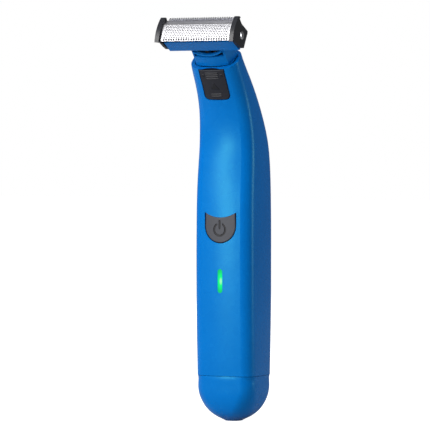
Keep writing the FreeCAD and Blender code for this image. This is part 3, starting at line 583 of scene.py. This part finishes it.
# The closed run of points set out again at even steps along its length.
def evenLoop(points, count):
    closed = np.concatenate([points, points[:1]])
    lengths = np.linalg.norm(np.diff(closed, axis=0), axis=1)
    run = np.concatenate([[0], np.cumsum(lengths)])
    steps = np.linspace(0, run[-1], count, endpoint=False)
    return np.stack([np.interp(steps, run, closed[:, 0]), np.interp(steps, run, closed[:, 1])], -1)


# The shoulder is the step in from the sides to the ends of the hollow. The mouth is the half
# angle, in degrees, that the ring leaves open, and it closes by a length for each degree.
powerSet = {"body": "power_button", "finish": "charcoal_button", "low": 74.45, "high": 86.85,
            "half": 7.1, "hollow": 13.5, "shoulder": 0.25, "bowlPoints": 60, "crestPoints": 40,
            "columns": 200, "center": (-0.15, 79.9), "core": 3.9, "coreRings": 44, "rings": 18,
            "edge": 0.4, "edgeRings": 6, "back": -9.7, "fitDepth": 1.2, "ring": 2.55,
            "stroke": 0.4, "rim": (0.08, 0.06), "mouth": 36.0, "perDegree": 0.045,
            "bar": (0.6, 3.5), "depth": 0.22}


# A half circle below, straight sides, and a top edge hollowed by a circle of its own.
def shieldOutline(values):
    half, low, high, hollow = (values[key] for key in ("half", "low", "high", "hollow"))
    turn = np.linspace(0, math.pi, values["bowlPoints"])
    bowl = np.stack([-half * np.cos(turn), low + half - half * np.sin(turn)], -1)
    reach = half - values["shoulder"]
    x = np.linspace(reach, -reach, values["crestPoints"])
    middle = high + math.sqrt(hollow ** 2 - reach ** 2)
    crest = np.stack([x, middle - np.sqrt(hollow ** 2 - x ** 2)], -1)
    return evenLoop(np.concatenate([bowl, crest]), values["columns"])


# A sunk ring that is open at the top, and a sunk bar standing in the opening: both are the points
# within a stroke of a line, with a soft rim. The sunk share also darkens them as painted shade in
# the grooves.
def powerRelief(x, z):
    values = powerSet
    dx, dz = x - values["center"][0], z - values["center"][1]
    radius = np.hypot(dx, dz)
    bearing = np.degrees(np.abs(np.arctan2(dx, dz)))
    inMouth = np.clip(values["mouth"] - bearing, 0, None) * values["perDegree"]
    ring = np.hypot(np.abs(radius - values["ring"]), inMouth)
    bar = np.hypot(dx, dz - np.clip(dz, *values["bar"]))
    stroke, (inside, outside) = values["stroke"], values["rim"]
    sunk = 1 - ease(stroke - inside, stroke + outside, np.minimum(ring, bar))
    return -values["depth"] * sunk, sunk


padSurface("powerButtonFace", "power_button", shieldOutline(powerSet), tiltedPlace(0, 0, 0),
           powerRelief, powerSet)

# The place is the y and z of the face's own frame and its tilt in degrees, and the marks are set
# out in that frame. Each row of ribs is its heights and a half length. The arrow has a slope to
# its sides, a size and a foot.
# The finish is a darker charcoal of painted shade. The rib and mark shades are the shares of
# painted shade on the ribs, and on the marks and arrow.
releaseSet = {"body": "release", "finish": "release_charcoal_painted_shade", "place": (-16.9, 140.1, 30.0),
              "half": 5.75, "above": 6.55, "below": 6.95, "corner": 1.95, "cornerPoints": 14,
              "columns": 300, "center": (0.0, -0.2), "core": 3.4, "coreRings": 36, "rings": 40,
              "edge": 0.35, "edgeRings": 5, "back": 2.2, "fitDepth": 1.1, "depth": 0.2,
              "ribs": (((5.2, 4.35, 3.5, 2.65), 2.9), ((-4.5, -5.4), 2.3)), "ribHalf": 0.2,
              "marks": (-4.2, 4.2), "markHeight": 4.0, "markSides": (0.45, 0.6),
              "arrowSlope": (0.8, 0.55), "arrowSize": 0.4, "arrowFoot": -2.2, "soft": 0.12,
              "ribShade": 0.35, "markShade": 0.5}


# A block with sharp upper corners and lower corners rounded by a quarter circle each.
def blockOutline(values):
    half, above, below, corner = (values[key] for key in ("half", "above", "below", "corner"))
    turn = np.linspace(0, math.pi / 2, values["cornerPoints"])
    low = corner - below
    left = np.stack([-half + corner - corner * np.cos(turn), low - corner * np.sin(turn)], -1)
    right = np.stack([half - corner + corner * np.sin(turn), low - corner * np.cos(turn)], -1)
    top = np.array([[half, above], [-half, above]])
    return evenLoop(np.concatenate([left, right, top]), values["columns"])


# 1 inside an upright box and 0 outside it, with a soft rim.
def boxShade(x, z, middle, sides, soft):
    reach = np.maximum(np.abs(x - middle[0]) - sides[0], np.abs(z - middle[1]) - sides[1])
    return 1 - ease(-soft, soft, reach)


# Cross ribs at the top and the bottom, a mark at each side of them and an arrow between. All of
# them stand up by one depth, and each kind is darkened by its own share of painted shade, standing
# for the shade of the small raised relief.
def releaseRelief(x, z):
    values = releaseSet
    soft, ribHalf = values["soft"], values["ribHalf"]
    ribs = sum(boxShade(x, z, (0, level), (reach, ribHalf), soft)
               for levels, reach in values["ribs"] for level in levels)
    marks = sum(boxShade(x, z, (side, values["markHeight"]), values["markSides"], soft)
                for side in values["marks"])
    run, rise = values["arrowSlope"]
    sides = np.abs(x) * run + z * rise - values["arrowSize"]
    arrow = 1 - ease(-soft, soft, np.maximum(sides, values["arrowFoot"] - z))
    paintedShade = values["markShade"] * (marks + arrow) + values["ribShade"] * ribs
    return values["depth"] * (ribs + marks + arrow), np.clip(paintedShade, 0, 1)


padSurface("releaseButtonFace", "release_button", blockOutline(releaseSet),
           tiltedPlace(*releaseSet["place"]), releaseRelief, releaseSet)
print("buttons made")

# The hinge is the y and z of the cassette's axis. Inner, seat and crown are distances along X, and
# the eye is the small radius at which each end is capped.
pinSet = {"hinge": (-26.6, 159.4), "columns": 40, "shank": 1.09, "head": 1.65, "inner": 15.0,
          "seat": 17.5, "crown": 18.1, "rim": 0.14, "dome": 0.28, "eye": 0.02, "domePoints": 10,
          "rimPoints": 5}


# A shank and a head turned about X. The head's edge is a quarter circle, and its crown is a
# shallow dome that rises as 1 - r².
def buildPin(name, side, node, values):
    inner, seat, shank, head, eye = (values[key] for key in
                                     ("inner", "seat", "shank", "head", "eye"))
    rim, dome = values["rim"], values["dome"]
    shoulder = values["crown"] - dome
    turn = np.linspace(0, math.pi / 2, values["rimPoints"])[:-1]
    share = np.linspace(1, eye, values["domePoints"])
    profile = np.concatenate([
        [(inner, eye), (inner, shank), (seat, shank), (seat, head)],
        np.stack([shoulder - rim * (1 - np.sin(turn)), head - rim * (1 - np.cos(turn))], -1),
        np.stack([shoulder + dome * (1 - share * share), (head - rim) * share], -1)])
    spin = np.linspace(0, 2 * math.pi, values["columns"], endpoint=False)
    x = np.repeat(profile[:, :1] * side, values["columns"], 1)
    y = values["hinge"][0] + profile[:, 1:] * np.cos(spin)
    z = values["hinge"][1] + profile[:, 1:] * np.sin(spin)
    rows, columns = x.shape
    first = np.arange(columns)
    addPiece(name, np.stack([x, y, z], -1).reshape(-1, 3), gridFaces(rows, columns, loop=True),
             "cassette", "pin_steel", node, [first, first + (rows - 1) * columns])


for side, word in ((1, "right"), (-1, "left")):
    buildPin("pinHead_" + word, side, "pivot_pin_" + word, pinSet)
print("pin heads made")
